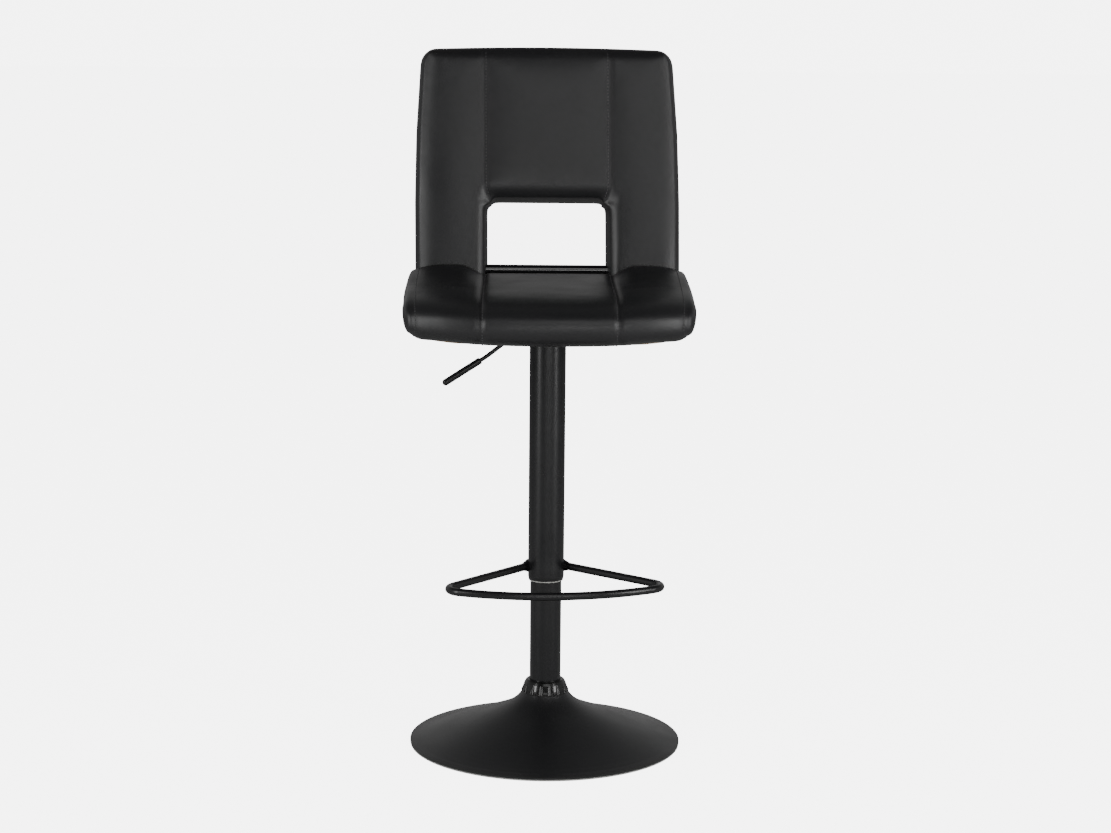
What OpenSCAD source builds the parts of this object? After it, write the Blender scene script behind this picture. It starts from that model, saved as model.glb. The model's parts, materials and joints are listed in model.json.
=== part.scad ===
// Gas-lift bar stool with a trumpet base, a wire footrest and a quilted seat and back.
// +Z is up, the seat faces -Y, and the origin is on the floor at the column's axis.
// Heights are those of the rest position, part-way up the gas lift's stroke.

/* [Base] */
// Outer radius of the trumpet base
base_r = 200; // [170:1:225]
// Height of the base at its neck
base_h = 77; // [65:1:90]
// Outer radius of the base's neck
neck_r = 34.5; // [32:0.5:38]
// Thickness of the base's steel sheet
base_wall = 2; // [1.5:0.1:3]
// Thickness of the rolled rim above the floor ring
rim_h = 2.8; // [2.2:0.1:4]
// Height of the floor ring
floor_ring_h = 2.4; // [2:0.1:4]
// Outer radius of the ballast plate
ballast_r = 150; // [120:1:160]
// Thickness of the ballast plate
ballast_h = 8; // [5:0.5:10]

/* [Column] */
// Outer radius of the fixed column
column_r = 23; // [22:0.1:25]
// Wall of the fixed column
column_wall = 1.8; // [1.5:0.1:2.5]
// Room between the column's top and the sleeve's cup with the seat down
column_room = 9.5; // [7:0.5:30]
// Height of the trim collar
collar_h = 19; // [16:0.5:26]
// Number of flutes round the trim collar
collar_flutes = 16; // [10:1:24]

/* [Gas lift] */
// Radius of the gas cylinder
gas_r = 14; // [13.5:0.1:15]
// Radius of the piston rod
rod_r = 5; // [4:0.1:5.5]
// Height of the gas cylinder's lower end above the floor
gas_bottom = 120; // [116:1:130]
// Travel down from rest
travel_down = 70; // [50:1:70]
// Travel up from rest
travel_up = 140; // [110:1:150]

/* [Sleeve and footrest] */
// Radial room between column and sleeve, which the guide ring fills
guide_room = 2; // [1:0.1:4]
// Wall of the sliding sleeve
sleeve_wall = 1.5; // [1.2:0.1:2]
// Height of the sleeve's lower end above the floor
sleeve_bottom = 248; // [235:1:262]
// Radius of the footrest rod
foot_rod_r = 5.75; // [4:0.25:7]
// Height of the footrest above the sleeve's lower end
foot_rise = 18; // [14:1:40]
// Reach of the footrest's front bar from the column's axis
foot_reach = 189; // [170:1:215]
// Distance of the footrest's corner bends from its middle
foot_half = 127; // [110:1:140]
// Radius of the footrest's corner bends
foot_bend = 24; // [14:1:26]
// Angle of the footrest's arms
arm_angle = 46; // [40:0.5:50]
// Turn of the footrest about the column at rest
foot_turn = 5; // [-30:0.5:30]

/* [Seat] */
// Height of the seat board's underside above the floor
board_z = 622; // [620:1:640]
// Thickness of the seat board
board_t = 12; // [9:0.5:15]
// Width of the seat
seat_w = 415; // [380:1:460]
// Reach of the seat's front roll from the column's axis
seat_front = 220; // [200:1:240]
// Height of the seat cushion above the seat board's top
seat_pad_h = 55; // [45:1:70]

/* [Back] */
// Width of the back at its foot
back_w_low = 394; // [360:1:430]
// Width of the back at its top
back_w_high = 376; // [340:1:410]
// Length of the back above its cross tube
back_rise = 331; // [290:1:380]
// Thickness of the back
back_t = 50; // [46:0.5:64]
// Lean of the back from upright
back_lean = 13; // [8:0.5:18]
// Distance of the back's cross tube behind the column's axis
back_y = 140; // [130:1:150]
// Width of the back's window
window_w = 182; // [140:1:200]
// Height of the window's top above the cross tube
window_rise = 106; // [80:1:130]

/* [Frame and lever] */
// Radius of the bent side tubes
side_tube_r = 8; // [7:0.25:9]
// Distance of each side tube from the middle
side_tube_x = 140; // [125:1:150]
// Radius of the cross tube that shows in the window
cross_tube_r = 7.5; // [6:0.25:7.5]
// Radius of the lever rod
lever_r = 3.15; // [2.5:0.05:3.5]
// Radius of the lever grip
grip_r = 5; // [4:0.25:7]
// Length of the lever grip
grip_len = 64; // [50:1:80]

/* [Hidden] */
$fn = 64;

// Clearances
slip = 0.06;      // radial running fit
rest_gap = 0.05;  // between faces that rest on each other and turn
pad_gap = 0.25;   // round hard pieces in the foam
weld_gap = 0.02;  // between pieces that are welded or glued

// Base and column
column_bore = column_r - column_wall;
column_foot = 10;
neck_z = base_h;
rim_z = floor_ring_h + rim_h;
flare_rise = neck_z - rim_z;
ballast_z = 3;
end_plate_z = column_foot + 2;
end_plate_h = 5;

// Thrust bearing and bumper
race_h = 2;
ball_r = 2;
ball_ring_r = 10.5;
ball_count = 12;
lower_race_z = end_plate_z + end_plate_h;
balls_z = lower_race_z + race_h;
upper_race_z = balls_z + 2 * ball_r + rest_gap;
bumper_z = upper_race_z + race_h;
bumper_top = gas_bottom - travel_down - 0.5;

// Gas lift
gas_wall = 1.5;
gas_bore = gas_r - gas_wall;
seal_h = 15;
piston_z = gas_bottom + travel_up + seal_h + 12;
piston_h = 14;
pin_r = 3;
taper_ledge = 0.4;
taper_slope = 0.0128;
button_r = 4;

// Seat mechanism, from the seat board downwards
plate_t = 3;
plate_under = board_z - plate_t;
web_h = 17;
web_t = 2.5;
bridge_t = 2.5;
bridge_z = plate_under - web_h - bridge_t;
plate_half = 85;
web_y = 34;
bolt_spacing = 140;
bolt_r = 4;
socket_r = 20;
socket_top = bridge_z + bridge_t + 1.5;
cylinder_top = socket_top + 1.5;
pivot_x = -28;
pivot_z = plate_under - 5;
button_top = pivot_z - lever_r - 0.1;

// Sleeve
sleeve_bore = column_r + guide_room;
sleeve_r = sleeve_bore + sleeve_wall;
sleeve_top = bridge_z - 2;
cup_floor_z = sleeve_top - 38;
cup_floor_t = 6;
column_top = cup_floor_z - travel_down - column_room;
shoulder_z = cup_floor_z - rest_gap;
socket_foot = cup_floor_z + cup_floor_t + 2;
cup_wall = 2.5;
guide_h = 22;
foot_z = sleeve_bottom + foot_rise;
arm_offset = sleeve_r - 4.5;

// Footrest outline: a straight arm, a corner bend and half of the front arc
corner_y = (foot_half * sin(arm_angle) - (arm_offset - foot_bend)) / cos(arm_angle);
front_h = foot_reach - corner_y;
front_r = (pow(foot_half, 2) + pow(front_h, 2) - pow(foot_bend, 2)) / (2 * (front_h - foot_bend));
front_half_angle = asin(foot_half / (front_r - foot_bend));
arm_start = [arm_offset * sin(arm_angle), arm_offset * cos(arm_angle)];
arm_end = [foot_half + foot_bend * sin(arm_angle), foot_bend * cos(arm_angle) - corner_y];
arm_len = norm(arm_end - arm_start);

// Lever
lever_bend_r = 20;
lever_drop = 38;
lever_inner = 8;
lever_run = 49;
lever_ease_r = 60;
lever_ease = 5;
grip_bury = grip_len - 6;
lever_steps = [
    [-pivot_x + lever_inner], [lever_bend_r, lever_drop, 0], [lever_run],
    [lever_ease_r, lever_ease, 180], [grip_bury + 8]
];

// Seat and back
board_top = board_z + board_t;
seat_top = board_top + seat_pad_h;
seat_low = board_z - 1;
roll_r = (seat_top - seat_low) / 2;
seat_corner_r = 30;
cross_z = seat_top + 0.5;
back_foot = -(cross_z - board_z) / cos(back_lean) + 6;
board_front = -(seat_front - 36);
board_rear = back_y - 48;
board_half = seat_w / 2 - 28;
board_corner_r = 80;
tube_z = board_top + side_tube_r + weld_gap;
tube_bend_r = 40;
tube_bend = 90 - back_lean;
tube_front = board_front + 40;
// Where the seat run of a side tube meets the line of the back
tube_knee_y = back_y - (cross_z - tube_z) * tan(back_lean);
tube_tangent = tube_bend_r * tan(tube_bend / 2);
tube_run = tube_knee_y - tube_tangent - tube_front;
tube_knee_w = (tube_z - cross_z) / cos(back_lean);
tube_rise = back_rise - 48 - tube_knee_w - tube_tangent;
tube_hole_r = 2.1;
top_tube_w = back_rise - 70;
top_tube_r = 6;
back_board_t = 8;
back_board_inset = 24;
back_corner_r = 20;
back_front = -back_t / 2;
back_board_v = side_tube_r + 0.3;
window_foot = -cross_tube_r - 1.5;
window_corner = 12;
cover_t = 1;

// A tube or rod along steps: [length] goes straight, [radius, angle, roll] bends.
// A thin band laps each join, so that the joined stretches are one solid
module path_rod(r, steps, i = 0) {
    band = 1;
    band_proud = 0.02;
    if (i > 0) translate([0, 0, -band / 2]) cylinder(h = band, r = r);
    if (i < len(steps)) {
        step = steps[i];
        if (len(step) == 1) {
            cylinder(h = step[0], r = r - band_proud);
            if (i < len(steps) - 1) translate([0, 0, step[0]]) path_rod(r, steps, i + 1);
        } else {
            rotate([0, 0, step[2]]) {
                translate([step[0], 0, 0]) rotate([0, 0, 180]) rotate([90, 0, 0])
                    rotate_extrude(angle = step[1]) translate([step[0], 0])
                        circle(r = r - band_proud);
                translate([step[0] * (1 - cos(step[1])), 0, step[0] * sin(step[1])])
                    rotate([0, step[1], 0]) rotate([0, 0, -step[2]])
                        path_rod(r, steps, i + 1);
            }
        }
    }
}

// A ring between two radii
module ring(outer, inner, h) {
    difference() {
        cylinder(h = h, r = outer);
        translate([0, 0, -1]) cylinder(h = h + 2, r = inner);
    }
}

// Places children in the back's own frame: X right, Y rearwards, Z up along the back
module back_frame() {
    translate([0, back_y, cross_z]) rotate([-back_lean, 0, 0]) children();
}

// Places children at the two sides of the middle plane
module both_sides() {
    children();
    mirror([1, 0, 0]) children();
}

// Height of the base's flare at a share t of the way from neck to rim
function flare_z(t) = rim_z + flare_rise * (0.83 * pow(1 - t, 1.15) + 0.17 * pow(1 - t, 16));
function flare_point(t) = [neck_r + (base_r - neck_r) * t, flare_z(t)];
function flare_normal(t) =
    let (e = 0.002, a = flare_point(max(t - e, 0)), b = flare_point(min(t + e, 1)))
    [a[1] - b[1], b[0] - a[0]] / norm(b - a);
flare_steps = 26;
// Points crowd towards the neck, where the flare is tightest
flare_t = [for (i = [0:flare_steps]) pow(i / flare_steps, 1.8)];

module base_shell() {
    outer = [for (t = flare_t) flare_point(t)];
    inner = [for (i = [flare_steps - 1:-1:0])
        let (t = flare_t[i]) flare_point(t) - base_wall * flare_normal(t)];
    color([0.03, 0.03, 0.03]) rotate_extrude()
        polygon(concat(outer, [[base_r, floor_ring_h], [base_r - base_wall, floor_ring_h]], inner,
                       [[neck_r - base_wall, neck_z]]));
}

module floor_ring() {
    color([0.35, 0.35, 0.35]) ring(base_r - 0.5, base_r - 12, floor_ring_h - weld_gap);
}

module counterweight() {
    color([0.25, 0.25, 0.27]) translate([0, 0, ballast_z])
        ring(ballast_r, column_r + 4, ballast_h);
}

module hub_socket() {
    flange_z = ballast_z + ballast_h + weld_gap;
    color([0.2, 0.2, 0.2]) {
        translate([0, 0, flange_z]) ring(column_r + 22, column_r + weld_gap, 3);
        translate([0, 0, flange_z + 3]) ring(column_r + 3, column_r + weld_gap, neck_z - 20);
    }
}

module collar() {
    foot_r = neck_r + 0.5;
    head_r = column_r + 6;
    color([0.02, 0.02, 0.02]) translate([0, 0, neck_z + weld_gap]) difference() {
        rotate_extrude() polygon([
            [column_r + 0.2, 0], [foot_r, 0], [foot_r, 3], [foot_r - 1.5, 5.5],
            [head_r + 1.5, collar_h - 5], [head_r - 0.5, collar_h - 1.5],
            [head_r - 2.5, collar_h], [column_r + 0.2, collar_h]
        ]);
        for (i = [0:collar_flutes - 1]) rotate([0, 0, (i + 0.5) * 360 / collar_flutes])
            translate([foot_r + 3.2, 0, 2]) rotate([0, -13, 0]) cylinder(h = 20, r = 5, $fn = 24);
    }
}

module column_tube() {
    color([0.02, 0.02, 0.02]) translate([0, 0, column_foot])
        ring(column_r, column_bore, column_top - column_foot);
}

module column_bush() {
    bush_len = 70;
    color([0.75, 0.75, 0.72]) {
        translate([0, 0, column_top - bush_len])
            ring(column_bore - weld_gap, gas_r + slip, bush_len);
        translate([0, 0, column_top + weld_gap]) ring(column_r - 0.3, gas_r + slip, 3);
    }
}

module column_end_plate() {
    color([0.3, 0.3, 0.3]) translate([0, 0, end_plate_z])
        ring(column_bore - weld_gap, rod_r + slip, end_plate_h);
}

module bearing_lower_race() {
    color("silver") translate([0, 0, lower_race_z + weld_gap])
        ring(ball_ring_r + 4, rod_r + 0.4, race_h - 2 * weld_gap);
}

module bearing_balls() {
    color("silver") for (i = [0:ball_count - 1]) rotate([0, 0, i * 360 / ball_count])
        translate([ball_ring_r, 0, balls_z + ball_r]) sphere(r = ball_r, $fn = 24);
}

module bearing_upper_race() {
    color("silver") translate([0, 0, upper_race_z + rest_gap])
        ring(ball_ring_r + 4, rod_r + weld_gap, race_h - 2 * rest_gap);
}

module bumper() {
    color([0.1, 0.1, 0.1]) translate([0, 0, bumper_z])
        ring(gas_r - 2, rod_r + weld_gap, bumper_top - bumper_z);
}

module piston_rod() {
    color("silver") {
        translate([0, 0, column_foot - 3]) cylinder(h = piston_z - column_foot + 3, r = rod_r);
        translate([0, 0, piston_z]) cylinder(h = piston_h, r = pin_r);
    }
}

module piston_head() {
    color([0.6, 0.6, 0.62]) translate([0, 0, piston_z + weld_gap])
        ring(gas_bore - slip, pin_r + weld_gap, piston_h - 2 * weld_gap);
}

module retaining_clip() {
    color([0.2, 0.2, 0.2]) translate([0, 0, end_plate_z - rest_gap - 1.5])
        ring(rod_r + 4, rod_r + weld_gap, 1.5);
}

function taper_r(z) = gas_r - taper_ledge - (z - shoulder_z) * taper_slope;

module gas_cylinder() {
    head_z = shoulder_z - 25;
    color([0.05, 0.05, 0.05]) rotate_extrude() polygon([
        [gas_bore, gas_bottom], [gas_r, gas_bottom], [gas_r, shoulder_z],
        [gas_r - taper_ledge, shoulder_z], [taper_r(cylinder_top), cylinder_top],
        [button_r + slip, cylinder_top], [button_r + slip, head_z], [gas_bore, head_z]
    ]);
}

module cylinder_seal() {
    color([0.1, 0.1, 0.1]) translate([0, 0, gas_bottom])
        ring(gas_bore - weld_gap, rod_r + slip, seal_h);
}

module valve_button() {
    pin_foot = shoulder_z - 20;
    color("silver") translate([0, 0, pin_foot]) cylinder(h = button_top - pin_foot, r = button_r);
}

module sleeve_tube() {
    color([0.02, 0.02, 0.02]) difference() {
        union() {
            translate([0, 0, sleeve_bottom]) cylinder(h = 5, r1 = sleeve_r - 0.9, r2 = sleeve_r);
            translate([0, 0, sleeve_bottom + 5])
                cylinder(h = sleeve_top - sleeve_bottom - 5, r = sleeve_r);
        }
        translate([0, 0, sleeve_bottom - 1]) cylinder(h = sleeve_top - sleeve_bottom + 2, r = sleeve_bore);
    }
}

module sleeve_cap() {
    cap_r = sleeve_bore - weld_gap;
    color([0.08, 0.08, 0.08]) translate([0, 0, cup_floor_z]) difference() {
        cylinder(h = sleeve_top - cup_floor_z, r = cap_r);
        translate([0, 0, cup_floor_t]) cylinder(h = sleeve_top - cup_floor_z, r = cap_r - cup_wall);
        translate([0, 0, -1]) cylinder(h = cup_floor_t + 2, r = gas_r - taper_ledge + slip);
    }
}

module sleeve_guide_ring() {
    color([0.6, 0.6, 0.58]) {
        translate([0, 0, sleeve_bottom + weld_gap])
            ring(sleeve_bore - weld_gap, column_r + slip, guide_h);
        translate([0, 0, sleeve_bottom - 1.5]) ring(sleeve_r - 1.3, column_r + slip, 1.5);
    }
}

// The footrest's bent rod, from its left arm round to its right arm
module foot_loop(r) {
    corner_turn = 180 - arm_angle - front_half_angle;
    translate([-arm_start[0], arm_start[1], foot_z]) rotate([0, 0, 180 + arm_angle])
        rotate([0, 90, 0]) path_rod(r, [
            [arm_len], [foot_bend, corner_turn, 90], [front_r, 2 * front_half_angle, 90],
            [foot_bend, corner_turn, 90], [arm_len]
        ]);
}

module sleeve_room() {
    translate([0, 0, foot_z - 20]) cylinder(h = 40, r = sleeve_r + weld_gap);
}

module footrest_ring() {
    color([0.02, 0.02, 0.02]) rotate([0, 0, foot_turn]) difference() {
        foot_loop(foot_rod_r);
        sleeve_room();
    }
}

module weld_beads() {
    bead_len = 14;
    reach = sqrt(pow(sleeve_r, 2) - pow(arm_offset, 2));
    color([0.02, 0.02, 0.02]) rotate([0, 0, foot_turn]) both_sides() difference() {
        translate([arm_start[0], arm_start[1], foot_z]) rotate([0, 0, -arm_angle])
            rotate([0, 90, 0]) translate([0, 0, reach - 4]) difference() {
                cylinder(h = bead_len, r1 = foot_rod_r + 4.4, r2 = foot_rod_r + 0.2);
                translate([0, 0, -1]) cylinder(h = bead_len + 2, r = foot_rod_r + weld_gap);
            }
        sleeve_room();
    }
}

// Places children at the four bolts of the seat plate
module at_bolts() {
    for (x = [-1, 1], y = [-1, 1]) translate([x * bolt_spacing / 2, y * bolt_spacing / 2, 0])
        children();
}

module seat_plate() {
    color([0.05, 0.05, 0.05]) {
        difference() {
            translate([-plate_half, -plate_half, plate_under])
                cube([2 * plate_half, 2 * plate_half, plate_t - weld_gap]);
            at_bolts() translate([0, 0, plate_under - 1]) cylinder(h = plate_t + 2, r = bolt_r + 0.3);
        }
        for (side = [-1, 1]) difference() {
            translate([-45, side * web_y - web_t / 2, bridge_z]) cube([90, web_t, web_h + bridge_t]);
            translate([pivot_x, 0, pivot_z]) rotate([90, 0, 0])
                cylinder(h = 3 * web_y, r = 3, center = true);
        }
        difference() {
            translate([-45, -web_y + web_t / 2, bridge_z]) cube([90, 2 * web_y - web_t, bridge_t]);
            translate([0, 0, bridge_z - 1]) cylinder(h = bridge_t + 2, r = socket_r + weld_gap);
        }
    }
}

module cone_socket() {
    fit = 0.02;
    color([0.15, 0.15, 0.15]) rotate_extrude() polygon([
        [taper_r(socket_foot) + fit, socket_foot], [socket_r, socket_foot],
        [socket_r, socket_top], [taper_r(socket_top) + fit, socket_top]
    ]);
}

module lever_pivot() {
    pivot_r = 3 - weld_gap;
    pin_len = 2 * web_y + web_t + 4;
    color("silver") translate([pivot_x, 0, pivot_z]) rotate([90, 0, 0]) {
        cylinder(h = pin_len, r = pivot_r, center = true);
        translate([0, 0, pin_len / 2]) cylinder(h = 2, r = pivot_r + 2);
    }
}

module lever_rod() {
    eye_r = 6.5;
    eye_h = 9;
    color([0.05, 0.05, 0.05]) difference() {
        union() {
            translate([0, 0, pivot_z]) rotate([0, -90, 0]) rotate([0, 0, 180])
                path_rod(lever_r, lever_steps);
            translate([0, 0, pivot_z]) rotate([90, 0, 0])
                cylinder(h = 2 * button_r, r = lever_r, center = true);
            translate([pivot_x, 0, pivot_z]) rotate([90, 0, 0])
                cylinder(h = eye_h, r = eye_r - 2, center = true);
        }
        translate([pivot_x, 0, pivot_z]) rotate([90, 0, 0])
            cylinder(h = 3 * eye_h, r = 3 - weld_gap + slip, center = true);
    }
}

module lever_grip() {
    // The grip starts where the last straight of the rod does, less a short bare length
    color([0.02, 0.02, 0.02]) translate([0, 0, pivot_z]) rotate([0, -90, 0]) rotate([0, 0, 180])
        grip_place(lever_steps) difference() {
            union() {
                translate([0, 0, 1]) cylinder(h = grip_len - grip_r, r = grip_r);
                cylinder(h = 1, r1 = grip_r - 0.8, r2 = grip_r);
                translate([0, 0, grip_len - grip_r + 1]) sphere(r = grip_r, $fn = 48);
            }
            translate([0, 0, -1]) cylinder(h = grip_bury + 1 + weld_gap, r = lever_r + weld_gap);
        }
}

// Places children a bare length into the last straight of a rod's steps
module grip_place(steps, i = 0) {
    bare = 8;
    step = steps[i];
    if (i == len(steps) - 1) {
        translate([0, 0, bare]) children();
    } else if (len(step) == 1) {
        translate([0, 0, step[0]]) grip_place(steps, i + 1) children();
    } else {
        rotate([0, 0, step[2]])
            translate([step[0] * (1 - cos(step[1])), 0, step[0] * sin(step[1])])
                rotate([0, step[1], 0]) rotate([0, 0, -step[2]])
                    grip_place(steps, i + 1) children();
    }
}

module plate_bolts() {
    color("silver") at_bolts() {
        translate([0, 0, plate_under - 5]) cylinder(h = 5 - weld_gap, r = 6.5, $fn = 6);
        translate([0, 0, plate_under - weld_gap]) cylinder(h = plate_t + 9, r = bolt_r - 0.1);
    }
}

module tee_nuts() {
    color("silver") at_bolts() {
        translate([0, 0, board_z + 1]) ring(bolt_r + 1, bolt_r, board_t - 1);
        translate([0, 0, board_top]) ring(9, bolt_r, 1.2);
    }
}

// Outline of the seat board, round at its front corners, grown outwards by grow
module board_plan(grow) {
    half = board_half + grow;
    front = board_front - grow;
    rear = board_rear + grow;
    r = board_corner_r + grow;
    polygon(concat(
        corner([half - r, front + r], r, -90, 0), [[half, rear], [-half, rear]],
        corner([r - half, front + r], r, 180, 270)
    ));
}

module seat_board() {
    color([0.72, 0.56, 0.36]) difference() {
        translate([0, 0, board_z]) linear_extrude(height = board_t) board_plan(0);
        at_bolts() translate([0, 0, board_z - 1]) cylinder(h = board_t + 2, r = bolt_r + 1.1);
        at_frame_screws() translate([0, 0, board_z - 1]) cylinder(h = board_t + 2, r = tube_hole_r);
    }
}

// Places children at the four screws that hold the side tubes to the seat board
module at_frame_screws() {
    for (x = [-1, 1], y = [tube_front + 15, tube_front + tube_run - 10])
        translate([x * side_tube_x, y, 0]) children();
}

module side_tube_path(r) {
    translate([side_tube_x, tube_front, tube_z]) rotate([-90, 0, 0]) rotate([0, 0, -90])
        path_rod(r, [[tube_run], [tube_bend_r, tube_bend, 0], [tube_rise]]);
}

module side_tube_right() {
    color([0.05, 0.05, 0.05]) difference() {
        side_tube_path(side_tube_r);
        side_tube_path(side_tube_r - 1.5);
        at_frame_screws() translate([0, 0, board_top]) cylinder(h = 8, r = tube_hole_r);
    }
}

module side_tube_left() {
    mirror([1, 0, 0]) side_tube_right();
}

// A straight tube between the side tubes, its ends shaped to them
module cross_tube(r, wall, w) {
    back_frame() difference() {
        translate([-side_tube_x, 0, w]) rotate([0, 90, 0]) cylinder(h = 2 * side_tube_x, r = r);
        translate([-side_tube_x - 1, 0, w]) rotate([0, 90, 0])
            cylinder(h = 2 * side_tube_x + 2, r = r - wall);
        both_sides() translate([side_tube_x, 0, w - 20]) cylinder(h = 40, r = side_tube_r + weld_gap);
    }
}

module rear_cross_tube() {
    color([0.02, 0.02, 0.02]) cross_tube(cross_tube_r, 1.5, 0);
}

module top_cross_tube() {
    color([0.05, 0.05, 0.05]) cross_tube(top_tube_r, 1.2, top_tube_w);
}

module frame_screws() {
    color("silver") at_frame_screws() {
        translate([0, 0, board_z - 2.5]) cylinder(h = 2.5 - weld_gap, r = 4);
        translate([0, 0, board_z - weld_gap]) cylinder(h = board_t + 6, r = tube_hole_r - 0.1);
    }
}

// Points of a round corner: centre, radius and first and last angle
function corner(c, r, a0, a1) = [for (i = [0:6]) let (a = a0 + (a1 - a0) * i / 6)
    [c[0] + r * cos(a), c[1] + r * sin(a)]];

// Outline of the back in its own plane, drawn in from its edge by inset
module back_outline(inset, foot, r) {
    low = back_w_low / 2 - inset;
    high = back_w_high / 2 - inset;
    top = back_rise - inset;
    polygon(concat(
        corner([low - r, foot + r], r, -90, 0), corner([high - r, top - r], r, 0, 90),
        corner([r - high, top - r], r, 90, 180), corner([r - low, foot + r], r, 180, 270)
    ));
}

// The window's outline, with small corners at its top, grown outwards by grow
module window_outline(grow) {
    half = window_w / 2 + grow;
    foot = window_foot - grow;
    top = window_rise + grow;
    polygon([[-half, foot], [half, foot], [half, top - window_corner],
             [half - window_corner, top], [window_corner - half, top], [-half, top - window_corner]]);
}

// A slab of the back between two depths, v0 in front and v1 behind
module back_slab(v0, v1) {
    translate([0, v1, 0]) rotate([90, 0, 0]) linear_extrude(height = v1 - v0) children();
}

module back_board() {
    color([0.72, 0.56, 0.36]) back_frame() back_slab(back_board_v, back_board_v + back_board_t)
        difference() {
            back_outline(back_board_inset, back_foot + back_board_inset, back_corner_r / 2);
            window_outline(8);
        }
}

// Square channels in the back's foam for the frame tubes, open towards the back board
module back_tube_room() {
    r = side_tube_r + pad_gap;
    bend_top = tube_knee_w + tube_tangent + 2;
    back_frame() {
        both_sides() {
            translate([side_tube_x - r, -r, bend_top])
                cube([2 * r, r + back_board_v, tube_rise + 2]);
            translate([side_tube_x - r, back_front - 1, back_foot - 1])
                cube([2 * r, back_board_v - back_front + 1, bend_top - back_foot + 2]);
        }
        for (w = [0, top_tube_w]) {
            rod = (w == 0 ? cross_tube_r : top_tube_r) + pad_gap;
            translate([-side_tube_x, -rod, w - rod])
                cube([2 * side_tube_x, rod + back_board_v, 2 * rod]);
        }
    }
}

// Square channels in the seat's foam for the side tubes and their bends, open to the board
module seat_tube_room() {
    r = side_tube_r + pad_gap;
    bend_y = tube_front + tube_run;
    both_sides() {
        translate([side_tube_x - r, tube_front - pad_gap, board_top - 1])
            cube([2 * r, back_y - tube_front, tube_z - board_top + r + 1]);
        translate([side_tube_x - r, bend_y, board_top - 1])
            cube([2 * r, back_y - bend_y, tube_z - board_top + r + tube_tangent - 8]);
    }
}

module back_pad() {
    rear = back_board_v - pad_gap;
    step = 7;
    color([0.04, 0.04, 0.045]) difference() {
        back_frame() {
            back_slab(back_front + step, rear) difference() {
                back_outline(0, back_foot, back_corner_r);
                window_outline(0);
            }
            back_slab(back_front, back_front + step) difference() {
                back_outline(step, back_foot + step, back_corner_r - step);
                window_outline(step);
            }
        }
        back_tube_room();
    }
}

module rear_cover() {
    front = back_board_v - pad_gap + weld_gap;
    step = 4;
    color([0.04, 0.04, 0.045]) back_frame() {
        difference() {
            back_slab(front, back_t / 2 - step) difference() {
                back_outline(0, back_foot, back_corner_r);
                window_outline(0);
            }
            back_slab(front - 1, back_board_v + back_board_t + weld_gap) difference() {
                back_outline(back_board_inset - pad_gap, back_foot + back_board_inset - pad_gap,
                             back_corner_r / 2);
                window_outline(8 - pad_gap);
            }
        }
        back_slab(back_t / 2 - step, back_t / 2) difference() {
            back_outline(step, back_foot + step, back_corner_r - step);
            window_outline(step);
        }
    }
}

// Side profile of the seat: a front roll and a level body
module seat_profile() {
    translate([roll_r - seat_front, seat_low + roll_r]) circle(r = roll_r);
    translate([roll_r - seat_front, seat_low]) square([seat_front + back_y, 2 * roll_r]);
}

module seat_plan() {
    half = seat_w / 2;
    r = seat_corner_r;
    polygon(concat(
        corner([half - r, r - seat_front], r, -90, 0), [[half, back_y], [-half, back_y]],
        corner([r - half, r - seat_front], r, 180, 270)
    ));
}

module seat_cushion() {
    color([0.04, 0.04, 0.045]) difference() {
        intersection() {
            rotate([90, 0, 90]) translate([0, 0, -seat_w / 2]) linear_extrude(height = seat_w)
                seat_profile();
            translate([0, 0, seat_low - 1]) linear_extrude(height = 2 * roll_r + 2) seat_plan();
        }
        // The rear face lies against the back
        back_frame() translate([-seat_w, back_front - 2 * pad_gap, -200]) cube([2 * seat_w, 200, 400]);
        // Pocket for the seat board, open downwards
        translate([0, 0, seat_low - 1])
            linear_extrude(height = board_top - seat_low + 1 + weld_gap) board_plan(pad_gap);
        seat_tube_room();
        at_bolts() translate([0, 0, board_top - 1]) cylinder(h = 3, r = 9 + pad_gap);
    }
}

module dust_cover() {
    margin = 8;
    color([0.05, 0.05, 0.05]) translate([0, 0, board_z - cover_t - weld_gap]) difference() {
        linear_extrude(height = cover_t) board_plan(-margin);
        translate([-plate_half - 2, -plate_half - 2, -1])
            cube([2 * plate_half + 4, 2 * plate_half + 4, cover_t + 2]);
        at_frame_screws() translate([0, 0, -1]) cylinder(h = cover_t + 2, r = 4.5);
    }
}

module dust_cover_staples() {
    wire = 0.7;
    span = 10;
    inset = 14;
    y0 = board_front + board_corner_r;
    y1 = board_rear - inset;
    count = 5;
    color("silver") translate([0, 0, board_z - cover_t - 2 * weld_gap - wire])
        for (side = [-1, 1], i = [0:count - 1])
            translate([side * (board_half - inset), y0 + (y1 - y0) * i / (count - 1), wire / 2])
                cube([wire, span, wire], center = true);
}

base_shell();
floor_ring();
counterweight();
hub_socket();
collar();
column_tube();
column_bush();
column_end_plate();
bearing_lower_race();
bearing_balls();
bearing_upper_race();
bumper();
piston_rod();
piston_head();
retaining_clip();
gas_cylinder();
cylinder_seal();
valve_button();
sleeve_tube();
sleeve_cap();
sleeve_guide_ring();
footrest_ring();
weld_beads();
seat_plate();
cone_socket();
lever_pivot();
lever_rod();
lever_grip();
plate_bolts();
tee_nuts();
seat_board();
side_tube_left();
side_tube_right();
rear_cross_tube();
top_cross_tube();
frame_screws();
back_board();
seat_cushion();
back_pad();
rear_cover();
dust_cover();
dust_cover_staples();
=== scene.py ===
# %% [markdown]
# # A gas-lift bar stool with a quilted seat and back
# The hard parts of the stool come from a CAD frame that is already true to size: tubes, base,
# gas lift, lever and boards. This notebook gives them their finishes, sews the seat and the back
# as real upholstery, adds the stitches, and lights the stool like a product on a pale floor.
# A learner can run it from top to bottom; each step says what the real piece is first.

import json
import math

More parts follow.
